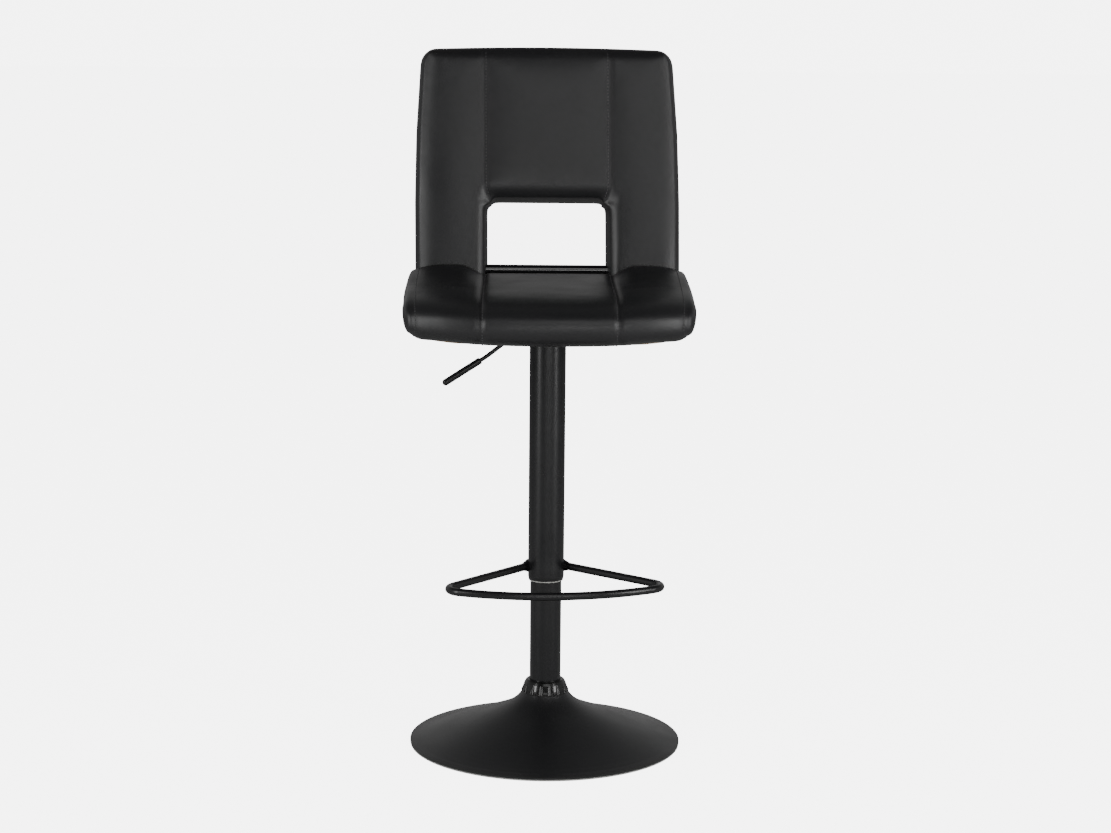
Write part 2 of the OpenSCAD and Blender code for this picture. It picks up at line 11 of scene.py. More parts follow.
import bmesh
import bpy
from mathutils import Matrix, Vector


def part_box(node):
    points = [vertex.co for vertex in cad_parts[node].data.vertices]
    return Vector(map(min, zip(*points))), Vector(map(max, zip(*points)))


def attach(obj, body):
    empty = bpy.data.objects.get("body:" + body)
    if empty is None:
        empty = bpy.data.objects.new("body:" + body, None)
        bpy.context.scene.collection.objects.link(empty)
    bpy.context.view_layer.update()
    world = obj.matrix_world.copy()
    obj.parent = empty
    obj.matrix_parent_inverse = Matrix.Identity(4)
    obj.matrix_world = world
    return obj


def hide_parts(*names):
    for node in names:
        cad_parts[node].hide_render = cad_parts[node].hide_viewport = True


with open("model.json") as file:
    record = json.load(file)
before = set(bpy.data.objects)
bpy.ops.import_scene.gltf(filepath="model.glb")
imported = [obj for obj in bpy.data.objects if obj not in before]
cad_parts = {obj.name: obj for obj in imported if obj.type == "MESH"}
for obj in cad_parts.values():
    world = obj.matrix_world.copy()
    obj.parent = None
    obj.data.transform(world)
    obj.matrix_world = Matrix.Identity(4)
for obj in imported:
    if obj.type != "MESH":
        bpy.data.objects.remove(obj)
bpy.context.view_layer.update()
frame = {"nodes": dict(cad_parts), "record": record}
MM = 0.001

# %% [markdown]
# ## The camera
# The stool was seen from the front, a little above the seat, from about three and a half metres
# away with a long lens, so that its verticals stay nearly parallel. The camera leans down by
# under ten degrees, is rolled by half a degree and stands almost a degree to the left.

# %% Camera
CAMERA_PLACE = (0.012, -3.67, 1.1126)
CAMERA_DOWN = 9.628
CAMERA_ROLL = 0.529
CAMERA_LEFT = 0.9
camera_data = bpy.data.cameras.new("camera")
camera_data.lens = 82.63
camera_data.sensor_width = 36.0
camera = bpy.data.objects.new("camera", camera_data)
camera.matrix_world = (
    Matrix.Rotation(math.radians(-CAMERA_LEFT), 4, "Z")
    @ Matrix.Translation(CAMERA_PLACE)
    @ Matrix.Rotation(math.radians(90 - CAMERA_DOWN), 4, "X")
    @ Matrix.Rotation(math.radians(CAMERA_ROLL), 4, "Z")
)
bpy.context.scene.collection.objects.link(camera)
bpy.context.scene.camera = camera
print("camera at", CAMERA_PLACE)

# %% [markdown]
# ## Small helpers for materials
# Every finish below is a Principled shader whose roughness and bump come from noise that is read
# in Object coordinates, in metres, so a grain keeps its real scale on every piece.


# %% Material helpers
def new_finish(name):
    finish = bpy.data.materials.new(name)
    finish.use_nodes = True
    tree = finish.node_tree
    shader = tree.nodes["Principled BSDF"]
    coords = tree.nodes.new("ShaderNodeTexCoord").outputs["Object"]
    return finish, tree, shader, coords


def noise(tree, coords, scale, detail=2.0, stretch=None):
    if stretch:
        mapping = tree.nodes.new("ShaderNodeMapping")
        mapping.inputs["Scale"].default_value = stretch
        tree.links.new(coords, mapping.inputs["Vector"])
        coords = mapping.outputs["Vector"]
    node = tree.nodes.new("ShaderNodeTexNoise")
    node.inputs["Scale"].default_value = scale
    node.inputs["Detail"].default_value = detail
    tree.links.new(coords, node.inputs["Vector"])
    return node.outputs["Fac"]


def spread(tree, value, low, high):
    node = tree.nodes.new("ShaderNodeMapRange")
    node.inputs["From Min"].default_value = 0.3
    node.inputs["From Max"].default_value = 0.7
    node.inputs["To Min"].default_value = low
    node.inputs["To Max"].default_value = high
    tree.links.new(value, node.inputs["Value"])
    return node.outputs["Result"]


def colour_between(tree, value, dark, light):
    node = tree.nodes.new("ShaderNodeMix")
    node.data_type = "RGBA"
    node.inputs["A"].default_value = (*dark, 1)
    node.inputs["B"].default_value = (*light, 1)
    tree.links.new(value, node.inputs["Factor"])
    return node.outputs["Result"]


def bump(tree, height, distance, strength=1.0, below=None):
    node = tree.nodes.new("ShaderNodeBump")
    node.inputs["Distance"].default_value = distance
    node.inputs["Strength"].default_value = strength
    tree.links.new(height, node.inputs["Height"])
    if below:
        tree.links.new(below, node.inputs["Normal"])
    return node.outputs["Normal"]


# %% [markdown]
# ## Painted and plated metal
# The base is matt powder coat: a fine orange peel that blurs what it mirrors. The tubes and the
# footrest are satin paint, and the bar behind the seat is glossier under a clear coat.


# %% Paint, plastic and steel finishes
def paint(name, dark, light, rough, grain, depth, coat=0.0):
    finish, tree, shader, coords = new_finish(name)
    cloudy = noise(tree, coords, 18, 3)
    speckle = noise(tree, coords, grain, 2)
    tree.links.new(colour_between(tree, cloudy, dark, light), shader.inputs["Base Color"])
    tree.links.new(spread(tree, cloudy, *rough), shader.inputs["Roughness"])
    tree.links.new(bump(tree, speckle, depth), shader.inputs["Normal"])
    shader.inputs["Coat Weight"].default_value = coat
    shader.inputs["Coat Roughness"].default_value = 0.12
    return finish


def metal(name, colour, rough, grain):
    finish, tree, shader, coords = new_finish(name)
    brushed = noise(tree, coords, grain, 3, (1, 1, 0.08))
    shader.inputs["Metallic"].default_value = 1.0
    shader.inputs["Base Color"].default_value = (*colour, 1)
    tree.links.new(spread(tree, brushed, *rough), shader.inputs["Roughness"])
    tree.links.new(bump(tree, brushed, 0.00002), shader.inputs["Normal"])
    return finish


finishes = {
    "powder_coat": paint(
        "powder_coat", (0.011, 0.011, 0.012), (0.015, 0.015, 0.016), (0.33, 0.40), 2600, 0.00003
    ),
    "satin_paint": paint(
        "satin_paint", (0.006, 0.006, 0.007), (0.009, 0.009, 0.010), (0.26, 0.34), 2200, 0.00001
    ),
    "gloss_paint": paint(
        "gloss_paint",
        (0.005, 0.005, 0.006),
        (0.007, 0.007, 0.008),
        (0.16, 0.22),
        1500,
        0.000005,
        coat=1.0,
    ),
    "gloss_plastic": paint(
        "gloss_plastic", (0.006, 0.006, 0.006), (0.009, 0.009, 0.009), (0.18, 0.25), 900, 0.000006
    ),
    "black_plastic": paint(
        "black_plastic", (0.010, 0.010, 0.010), (0.014, 0.014, 0.014), (0.38, 0.50), 3000, 0.00002
    ),
    "floor_plastic": paint(
        "floor_plastic", (0.30, 0.30, 0.29), (0.36, 0.36, 0.35), (0.45, 0.55), 1800, 0.00001
    ),
    "guide_plastic": paint(
        "guide_plastic", (0.52, 0.52, 0.49), (0.60, 0.60, 0.57), (0.40, 0.50), 1200, 0.00001
    ),
    "black_rubber": paint(
        "black_rubber", (0.012, 0.012, 0.012), (0.018, 0.018, 0.018), (0.65, 0.80), 1600, 0.00004
    ),
    "raw_steel": metal("raw_steel", (0.42, 0.41, 0.40), (0.35, 0.55), 900),
    "bearing_steel": metal("bearing_steel", (0.62, 0.62, 0.63), (0.15, 0.28), 1500),
}
print("finishes so far:", ", ".join(finishes))

# %% [markdown]
# ## Plywood, lining and the black leathercloth
# Plywood shows long grain on its face. The lining under the seat is a thin black non-woven
# cloth. The cover is embossed black leathercloth: tiny pebbles about a millimetre across, with a
# soft sheen, over slow waves where the cloth isn't quite tight.


# %% Soft and wooden finishes
def plywood():
    finish, tree, shader, coords = new_finish("plywood")
    grain = noise(tree, coords, 60, 5, (1.0, 0.06, 1.0))
    tree.links.new(
        colour_between(tree, grain, (0.42, 0.27, 0.14), (0.62, 0.45, 0.27)),
        shader.inputs["Base Color"],
    )
    tree.links.new(spread(tree, grain, 0.55, 0.75), shader.inputs["Roughness"])
    tree.links.new(bump(tree, grain, 0.0001), shader.inputs["Normal"])
    return finish


def lining_fabric():
    finish, tree, shader, coords = new_finish("lining_fabric")
    fibre = noise(tree, coords, 1400, 4)
    tree.links.new(
        colour_between(tree, fibre, (0.010, 0.010, 0.010), (0.030, 0.030, 0.030)),
        shader.inputs["Base Color"],
    )
    shader.inputs["Roughness"].default_value = 0.9
    tree.links.new(bump(tree, fibre, 0.0001), shader.inputs["Normal"])
    return finish


def black_leather():
    finish, tree, shader, coords = new_finish("black_leather")
    pebble = tree.nodes.new("ShaderNodeTexVoronoi")
    pebble.feature = "SMOOTH_F1"
    pebble.inputs["Scale"].default_value = 1100
    tree.links.new(coords, pebble.inputs["Vector"])
    waves = noise(tree, coords, 22, 2)
    worn = noise(tree, coords, 9, 3)
    tree.links.new(
        colour_between(tree, worn, (0.0105, 0.0105, 0.0115), (0.0140, 0.0140, 0.0150)),
        shader.inputs["Base Color"],
    )
    tree.links.new(spread(tree, worn, 0.38, 0.46), shader.inputs["Roughness"])
    slack = bump(tree, waves, 0.0009)
    tree.links.new(
        bump(tree, pebble.outputs["Distance"], 0.00008, 0.5, slack), shader.inputs["Normal"]
    )
    return finish


finishes["plywood"] = plywood()
finishes["lining_fabric"] = lining_fabric()
finishes["black_leather"] = black_leather()

# %% [markdown]
# ## Dressing the frame
# The record says which finish belongs to each hard part, so the parts are dressed from it.

# %% Finishes onto hard parts
slot_of = {}
for part in frame["record"]["subparts"]:
    slot_of[part["node"]] = part["material_slot"]
for name, node in frame["nodes"].items():
    node.data.materials.clear()
    node.data.materials.append(finishes[slot_of[name]])
print("dressed", len(slot_of), "hard parts")

# %% [markdown]
# ## A lattice for upholstery
# Upholstery is cut as flat panels and sewn along seams. A lattice of small square cells whose
# lines follow those seams keeps every seam on an edge of the mesh, where it can be pinned while
# the panel between the seams is blown up by cloth simulation.


# %% Lattice helper
class Lattice:
    """Points known by keys, and the cells between them."""

    def __init__(self):
        self.index, self.points, self.cells = {}, [], []

    def at(self, key, place):
        if key not in self.index:
            self.index[key] = len(self.points)
            self.points.append([c * MM for c in place])
        return self.index[key]

    def cell(self, *keys):
        self.cells.append([self.index[k] for k in keys])

    def make(self, name):
        mesh = bpy.data.meshes.new(name)
        mesh.from_pydata(self.points, [], self.cells)
        work = bmesh.new()
        work.from_mesh(mesh)
        bmesh.ops.recalc_face_normals(work, faces=work.faces)
        work.to_mesh(mesh)
        work.free()
        piece = bpy.data.objects.new(name, mesh)
        bpy.context.scene.collection.objects.link(piece)
        return piece


def smooth(low, high, value):
    t = min(max((value - low) / (high - low), 0.0), 1.0)
    return t * t * (3 - 2 * t)


def steps(start, end, count):
    return [start + (end - start) * i / count for i in range(count)]


def even(line, count):
    """Splits a drawn line into equal lengths, and leaves out its last point."""
    reach = [0.0]
    for a, b in zip(line, line[1:]):
        reach.append(reach[-1] + math.dist(a, b))
    placed, part = [], 0
    for n in range(count):
        goal = reach[-1] * n / count
        while reach[part + 1] < goal:
            part += 1
        t = (goal - reach[part]) / (reach[part + 1] - reach[part])
        placed.append(tuple(a + (b - a) * t for a, b in zip(line[part], line[part + 1])))
    return placed


def corner_curve(y, z, reach, rise, square, first, last):
    """A quarter of a squared-off ellipse about (y, z), as a fine line of points."""
    line = []
    for n in range(61):
        a = math.radians(first + (last - first) * n / 60)
        c, d = max(math.cos(a), 0.0) ** (2 / square), max(math.sin(a), 0.0) ** (2 / square)
        line.append((y - reach * c, z + rise * d))
    return line


# %% [markdown]
# ## Blowing up the panels
# Foam pushes its cover out evenly, so the cover is run as cloth with a little air pressure while
# its seams are held. The cloth may be cut a shade larger than the foam, which slackens it between
# its seams. A cap on the movement keeps the cushion inside the space the foam really has.


# %% Cloth simulation
AIR_PRESSURE = 5.0


def blow_up(piece, held, room, spare=0.0, frames=20):
    """held: vertex -> 0..1, how firmly it is held. room: vertex -> most metres it may move."""
    start = [v.co.copy() for v in piece.data.vertices]
    pins = piece.vertex_groups.new(name="held")
    for vertex, grip in held.items():
        pins.add([vertex], grip, "REPLACE")
    cloth = piece.modifiers.new("cloth", "CLOTH")
    cloth.settings.quality = 6
    cloth.settings.mass = 0.3
    cloth.settings.tension_stiffness = 15
    cloth.settings.compression_stiffness = 15
    cloth.settings.shear_stiffness = 8
    cloth.settings.bending_stiffness = 6.0
    cloth.settings.use_pressure = True
    cloth.settings.uniform_pressure_force = AIR_PRESSURE
    cloth.settings.shrink_min = -spare
    cloth.settings.vertex_group_mass = "held"
    cloth.settings.effector_weights.gravity = 0
    cloth.collision_settings.use_collision = False
    cloth.point_cache.frame_start = 1
    cloth.point_cache.frame_end = frames
    scene = bpy.context.scene
    for number in range(1, frames + 1):
        scene.frame_set(number)
    shown = piece.evaluated_get(bpy.context.evaluated_depsgraph_get())
    blown = [v.co.copy() for v in shown.data.vertices]
    piece.modifiers.remove(cloth)
    scene.frame_set(1)
    most = 0.0
    for vertex, before, after in zip(piece.data.vertices, start, blown):
        move = after - before
        limit = room[vertex.index]
        if move.length > 0:
            # The movement eases off towards the limit instead of stopping dead
            move *= limit * math.tanh(move.length / limit) / move.length
        vertex.co = before + move
        most = max(most, move.length)
    piece.vertex_groups.clear()
    print(piece.name, "rose by up to", round(most / MM, 1), "mm")


def soften(piece, folds):
    """One round of subdivision, with a fold kept sharp along each seam edge."""
    work = bmesh.new()
    work.from_mesh(piece.data)
    sharp = work.edges.layers.float.new("crease_edge")
    work.verts.ensure_lookup_table()
    for path, keep in folds:
        for a, b in zip(path, path[1:]):
            edge = work.edges.get((work.verts[a], work.verts[b]))
            if edge:
                edge[sharp] = keep
    work.to_mesh(piece.data)
    work.free()
    rounder = piece.modifiers.new("rounder", "SUBSURF")
    rounder.levels = rounder.render_levels = 1
    shown = piece.evaluated_get(bpy.context.evaluated_depsgraph_get())
    mesh = bpy.data.meshes.new_from_object(shown)
    piece.modifiers.remove(rounder)
    piece.data = mesh
    for face in mesh.polygons:
        face.use_smooth = True


# %% [markdown]
# ## The seat
# The seat is a board with foam on it, wrapped in leathercloth from three strips sewn side by side.
# It is dished across the middle, rolls over at the front, and its two outer strips rise towards
# the back. Each end is closed by a side panel that swells past its seam. Underneath, the cloth
# wraps the board's edge and ends at the lining.

# %% Seat measures, in millimetres
SEAT_SEAM = 95.5
SEAT_END = 197.0
SEAT_FRONT = 219.0
SEAT_DISH = 684.0
SEAT_UNDER = 620.4
ROLL_MID = 645.0
ROLL_OVER, ROLL_UNDER = 150.0, 42.0
REAR_ROUND = 9
LINE_GAP = 1.0
REAR_CELLS, BEND_CELLS, TOP_CELLS_SEAT, OVER_CELLS, UNDER_CELLS = 9, 3, 29, 28, 8
END_BULGE = 12.0
# The opening in the underside, where the board and its lining show
MOUTH_HALF = 172.0
MOUTH_FRONT, MOUTH_REAR = -176.0, 84.0
MOUTH_CORNER = (99.5, -104.0, 72.5)
BOARD_OVER = 634.4
cross_low, cross_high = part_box("rear_cross_tube")
top_low, top_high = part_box("top_cross_tube")
BACK_FOOT = (cross_low + cross_high) / 2 / MM
BACK_LINE = ((top_low + top_high) / 2 / MM - BACK_FOOT).normalized()
BACK_REAR = Vector((0, BACK_LINE.z, -BACK_LINE.y))
lean = math.degrees(math.asin(BACK_LINE.y))
print("back starts at", [round(c, 1) for c in BACK_FOOT], "and leans", round(lean, 1))


# %% Seat shape
def seat_front(x):
    """The front edge bows back towards the ends."""
    return -SEAT_FRONT + 20.0 * (abs(x) / 150.0) ** 2.5


def seat_top(x, y):
    """The middle is dished, and the outer strips rise towards the back."""
    dish = SEAT_DISH + 4.0 * smooth(0, 120, y + 20.0)
    side = smooth(SEAT_SEAM, SEAT_SEAM + 34, abs(x)) * (1 - 0.3 * smooth(176, SEAT_END, abs(x)))
    return dish + 12.0 * smooth(-110, 85, y) * side - 2.5 * smooth(150, SEAT_END, abs(x))


def seat_width_share(y):
    """How far the outer strips reach: the seat narrows a little towards its front."""
    return 1 - 0.035 * smooth(10, -150, y) - 0.05 * smooth(-150, -215, y)


def seat_place(x, y, z):
    """A point of the skin, with the outer strip narrowed and the seams left straight."""
    out = max(abs(x) - SEAT_SEAM, 0.0)
    inner = min(abs(x), SEAT_SEAM)
    return (math.copysign(inner + out * seat_width_share(y), x), y, z)


def seat_under(x):
    """The underside hangs a little in the middle and turns up beyond the board's edge."""
    hang = 2.0 * max(0.0, 1 - (x / 150.0) ** 2)
    return SEAT_UNDER - hang + 8.0 * smooth(184, 200, abs(x))


def mouth_front(x):
    """The front edge of the opening, with its rounded corners."""
    cx, cy, r = MOUTH_CORNER
    if abs(x) <= cx:
        return MOUTH_FRONT
    return cy - math.sqrt(max(r * r - (abs(x) - cx) ** 2, 0.0))


def back_face(z, gap):
    """Y of the back's front face at a height, less a gap."""
    up = (z - BACK_FOOT.z) / BACK_LINE.z
    return BACK_FOOT.y + up * BACK_LINE.y - (25.0 + gap) * BACK_LINE.z


def seat_loop(x, pocket):
    """The closed line round the seat at one X, from its rear foot over the top to the front."""
    front, under = seat_front(x), seat_under(x)
    # Towards its ends the roll turns under more tightly and ends a little higher
    outward = smooth(90, 160, abs(x))
    run, lift = ROLL_UNDER - 12.0 * outward, 3.5 * outward
    line = []
    rear_top = seat_top(x, 100)
    for z in steps(under, rear_top - REAR_ROUND, REAR_CELLS):
        line.append((back_face(z, LINE_GAP), z))
    first = back_face(rear_top, LINE_GAP) - REAR_ROUND
    for turn in steps(0, 90, BEND_CELLS):
        a = math.radians(turn)
        y = first + REAR_ROUND * math.cos(a)
        line.append((y, rear_top - REAR_ROUND + REAR_ROUND * math.sin(a)))
    start = front + ROLL_OVER
    for y in steps(first, start, TOP_CELLS_SEAT):
        line.append((y, seat_top(x, y)))
    over = corner_curve(start, ROLL_MID, ROLL_OVER, seat_top(x, start) - ROLL_MID, 3.0, 90, 0)
    line += even(over, OVER_CELLS)
    below = corner_curve(front + run, ROLL_MID, run, under + lift - ROLL_MID, 2.1, 0, 90)
    line += even(below, UNDER_CELLS)
    mouth = max(mouth_front(x), front + run + 1)
    line += list(zip(steps(front + run, mouth, 3), steps(under + lift, under, 3)))
    top = BOARD_OVER if pocket else under
    line += [(mouth, z) for z in steps(under, top, 2)]
    line += [(y, top) for y in steps(mouth, MOUTH_REAR, 10)]
    line += [(MOUTH_REAR, z) for z in steps(top, under, 2)]
    line += [(y, under) for y in steps(MOUTH_REAR, back_face(under, LINE_GAP), 2)]
    return line


# %% Sew the seat
half_stations = [(x, True) for x in steps(0, SEAT_SEAM, 16) + steps(SEAT_SEAM, MOUTH_HALF, 12)]
half_stations += [(MOUTH_HALF, True), (MOUTH_HALF + 0.4, False)]
half_stations += [(x, False) for x in steps(180.0, SEAT_END, 2)] + [(SEAT_END, False)]
stations = [(-x, pocket) for x, pocket in reversed(half_stations[1:])] + half_stations
seat = Lattice()
loop_size = len(seat_loop(0, True))
TOP_FIRST = REAR_CELLS
TOP_LAST = TOP_FIRST + BEND_CELLS + TOP_CELLS_SEAT + OVER_CELLS + UNDER_CELLS
for i, (x, pocket) in enumerate(stations):
    for k, (y, z) in enumerate(seat_loop(x, pocket)):
        seat.at(("s", i, k), seat_place(x, y, z) if k <= TOP_LAST else (x, y, z))
for i in range(len(stations) - 1):
    for k in range(loop_size):
        n = (k + 1) % loop_size
        seat.cell(("s", i, k), ("s", i + 1, k), ("s", i + 1, n), ("s", i, n))

# Each end panel is rings that close in on its middle by these shares, and swell outwards
CAP_SHARES = (0.05, 0.14, 0.26, 0.40, 0.56, 0.74, 0.93)
for side, station in ((-1, 0), (1, len(stations) - 1)):
    ring = seat_loop(side * SEAT_END, False)
    for m, share in enumerate(CAP_SHARES, 1):
        out = END_BULGE * math.sqrt(1 - (1 - share) ** 2)
        for k, (y, z) in enumerate(ring):
            middle_y, middle_z = min(max(y, -142.0), 70.0), 665.0
            place_y, place_z = y + (middle_y - y) * share, z + (middle_z - z) * share
            seat.at(("c", side, m, k), seat_place(side * (SEAT_END + out), place_y, place_z))
    rows = [("s", station)] + [("c", side, m) for m in range(1, len(CAP_SHARES) + 1)]
    for a, b in zip(rows, rows[1:]):
        for k in range(loop_size):
            n = (k + 1) % loop_size
            seat.cell((*a, k), (*a, n), (*b, n), (*b, k))
    seat.cell(*[(*rows[-1], k) for k in range(loop_size)])
print("seat lattice has", len(seat.points), "points")

# %% Hold the seat's seams and blow it up
seam_left = [i for i, (x, _) in enumerate(stations) if abs(x + SEAT_SEAM) < 0.1][0]
seam_right = len(stations) - 1 - seam_left
last = len(stations) - 1
seat_held, seat_room = {}, {}
for key, v in seat.index.items():
    kind = key[0]
    k = key[-1]
    on_top = TOP_FIRST < k <= TOP_LAST
    seat_room[v] = 0.0065 if on_top else 0.001
    if kind == "s":
        if not on_top or key[1] in (0, last, seam_left, seam_right):
            seat_held[v] = 1.0
    else:
        seat_room[v] = 0.004
        if not on_top:
            seat_held[v] = 0.6
# The three strips' seams and the end seams lie in shallow grooves
for i in (seam_left, seam_right):
    for k in range(TOP_FIRST, TOP_LAST + 1):
        sunk = seat.points[seat.index[("s", i, k)]]
        sunk[2] -= 0.0028 * smooth(TOP_LAST, TOP_LAST - 14, k)
        sunk[1] += 0.0030 * smooth(TOP_LAST - 22, TOP_LAST - 12, k)
for i in (0, last):
    for k in range(TOP_FIRST, TOP_LAST + 1):
        seat.points[seat.index[("s", i, k)]][0] *= 1 - 0.018 * smooth(TOP_LAST, TOP_LAST - 8, k)
seat_cover = seat.make("seat_upholstery")
work = bmesh.new()
work.from_mesh(seat_cover.data)
many_sided = [f for f in work.faces if len(f.verts) > 4]
print("end faces to close:", len(many_sided))
bmesh.ops.triangulate(work, faces=many_sided)
work.to_mesh(seat_cover.data)
work.free()
blow_up(seat_cover, seat_held, seat_room, spare=0.003)
seat_seams = [
    [seat.index[("s", i, k)] for k in range(TOP_FIRST, TOP_LAST + 2)]
    for i in (seam_left, seam_right)
]
seat_ends = [
    [seat.index[("s", i, k)] for k in range(TOP_FIRST - 8, TOP_LAST + 4)] for i in (0, last)
]
soften(seat_cover, [(p, 0.7) for p in seat_seams] + [(p, 0.5) for p in seat_ends])

# %% [markdown]
# ## The back
# The back is a padded frame round a window. Its front is three strips: the outer two run the whole
# height and the middle one stops at the window. A boxing strip joins the front to the rear cover,
# all the way round the outside and again round the window. It is drawn in the back's own plane,
# which leans a little: U to the right, V rearwards, W up along the back.

# %% Back measures, in millimetres
BACK_SEAM = 94.5
BACK_TOP, BACK_BOTTOM = 332.0, -62.0
WINDOW_TOP, WINDOW_FOOT = 107.5, -12.0
CORNER_R = 20.0
BOXING_OUT = 5.5
SIDE_SOFTNESS = 0.6
FRONT_FACE, REAR_FACE = -23.0, 24.5
FRONT_EDGE, REAR_EDGE = -16.0, 18.0
REAR_INSET, REAR_CLOSER = 4.0, 4.5
SEWN_ASKEW = 0.009
# Half the back's width at heights up along it: the back tapers and its sides are a little bowed
HALF_WIDTHS = ((-62, 197), (100, 198), (142, 197.3), (205, 196), (255, 193), (305, 190), (331, 187))


def half_width(w):
    for (w0, h0), (w1, h1) in zip(HALF_WIDTHS, HALF_WIDTHS[1:]):
        if w <= w1:
            return h0 + (h1 - h0) * (w - w0) / (w1 - w0)
    return HALF_WIDTHS[-1][1]


def back_place(u, v, w):
    """A point of the back's own plane, put on the stool."""
    p = BACK_FOOT + BACK_REAR * v + BACK_LINE * w
    return (u, p.y, p.z)


# %% Back grid
SIDE_CELLS, MIDDLE_CELLS = 16, 30
FOOT_CELLS, WINDOW_CELLS, TOP_CELLS = 8, 20, 35
ACROSS = 2 * SIDE_CELLS + MIDDLE_CELLS
UP = FOOT_CELLS + WINDOW_CELLS + TOP_CELLS
LEFT_SEAM, RIGHT_SEAM = SIDE_CELLS, SIDE_CELLS + MIDDLE_CELLS
WIN_LOW, WIN_HIGH = FOOT_CELLS, FOOT_CELLS + WINDOW_CELLS


def grid_w(j, inset, closer):
    low, foot, head = BACK_BOTTOM + inset, WINDOW_FOOT + closer, WINDOW_TOP - closer
    if j <= WIN_LOW:
        return low + (foot - low) * j / FOOT_CELLS
    if j <= WIN_HIGH:
        return foot + (head - foot) * (j - WIN_LOW) / WINDOW_CELLS
    return head + (BACK_TOP - inset - head) * (j - WIN_HIGH) / TOP_CELLS


def grid_u(i, w, inset, closer):
    edge, jamb = half_width(w) - inset, BACK_SEAM - closer
    if i < LEFT_SEAM:
        return -edge + (edge - jamb) * i / SIDE_CELLS
    if i > RIGHT_SEAM:
        return jamb + (edge - jamb) * (i - RIGHT_SEAM) / SIDE_CELLS
    return -jamb + 2 * jamb * (i - LEFT_SEAM) / MIDDLE_CELLS


def grid_point(i, j, inset, closer=0.0):
    """U and W of a grid point: inset draws the outline in, closer draws the window's edge in."""
    w = grid_w(j, inset, closer)
    u = grid_u(i, w, inset, closer)
    edge, r = half_width(w) - inset, CORNER_R - inset
    top, foot = BACK_TOP - inset, BACK_BOTTOM + inset
    a = abs(u) - (edge - r)
    b = max(w - (top - r), (foot + r) - w)
    if a > 0 and b > 0:
        pull = max(a, b) / math.hypot(a, b)
        u = math.copysign(edge - r + a * pull, u)
        w = top - r + b * pull if w > 0 else foot + r - b * pull
    w += 4.0 * (1 - (u / 190.0) ** 2) * smooth(120, BACK_TOP, w)
    # The cloth is gathered across the window's two upper corners
    gather = 8.0 * math.exp(-((abs(u) - BACK_SEAM) ** 2 + (w - WINDOW_TOP) ** 2) / 90.0)
    # The whole back was sewn half a degree out of true
    return u - math.copysign(gather, u) - SEWN_ASKEW * w, w - gather


def in_hole(i, j):
    return LEFT_SEAM < i < RIGHT_SEAM and WIN_LOW < j < WIN_HIGH


def edge_distance(i, j):
    """Millimetres from the outer seam, and from the window's seam."""
    u, w = grid_point(i, j, BOXING_OUT)
    # The sides roll over more softly than the top and the foot
    side = (half_width(w) - BOXING_OUT - abs(u)) * SIDE_SOFTNESS
    outer = min(side, BACK_TOP + 3 - BOXING_OUT - w, w - BACK_BOTTOM - BOXING_OUT)
    du = max(abs(u) - BACK_SEAM, 0.0)
    dw = max(w - WINDOW_TOP, WINDOW_FOOT - w, 0.0)
    return max(outer, 0.0), math.hypot(du, dw)


def round_off(distance, radius):
    return (1 - min(distance / radius, 1.0)) ** 2


def front_depth(i, j):
    outer, window = edge_distance(i, j)
    over_window = LEFT_SEAM <= i <= RIGHT_SEAM and j >= WIN_HIGH
    v = FRONT_FACE + 7.0 * round_off(outer, 15)
    v += (10.0 if over_window else 7.0) * round_off(window, 20 if over_window else 13)
    if i in (LEFT_SEAM, RIGHT_SEAM) and j > WIN_HIGH:
        v += 2.2 * (1 - round_off(window, 20))
    return min(v, FRONT_EDGE + 3)


def rear_depth(i, j):
    outer, window = edge_distance(i, j)
    return REAR_FACE - max(6.5 * round_off(outer, 14), 4.5 * round_off(window, 10))


# %% Sew the back
back = Lattice()
for i in range(ACROSS + 1):
    for j in range(UP + 1):
        if in_hole(i, j):
            continue
        u, w = grid_point(i, j, BOXING_OUT)
        back.at(("f", i, j), back_place(u, front_depth(i, j), w))
        u, w = grid_point(i, j, REAR_INSET, REAR_CLOSER)
        back.at(("r", i, j), back_place(u, rear_depth(i, j), w))
for side in "fr":
    for i in range(ACROSS):
        for j in range(UP):
            if LEFT_SEAM <= i < RIGHT_SEAM and WIN_LOW <= j < WIN_HIGH:
                continue
            back.cell((side, i, j), (side, i + 1, j), (side, i + 1, j + 1), (side, i, j + 1))


def rim(i0, i1, j0, j1):
    """Grid points round a rectangle, in order."""
    foot = [(i, j0) for i in range(i0, i1)]
    right = [(i1, j) for j in range(j0, j1)]
    head = [(i, j1) for i in range(i1, i0, -1)]
    left = [(i0, j) for j in range(j1, j0, -1)]
    return foot + right + head + left


OUTER = rim(0, ACROSS, 0, UP)
WINDOW = rim(LEFT_SEAM, RIGHT_SEAM, WIN_LOW, WIN_HIGH)
BOXING_ROWS = 7


def swell(t):
    return 1 - (1 - t / 0.45) ** 2 if t < 0.45 else 1 - 0.75 * ((t - 0.45) / 0.55) ** 2


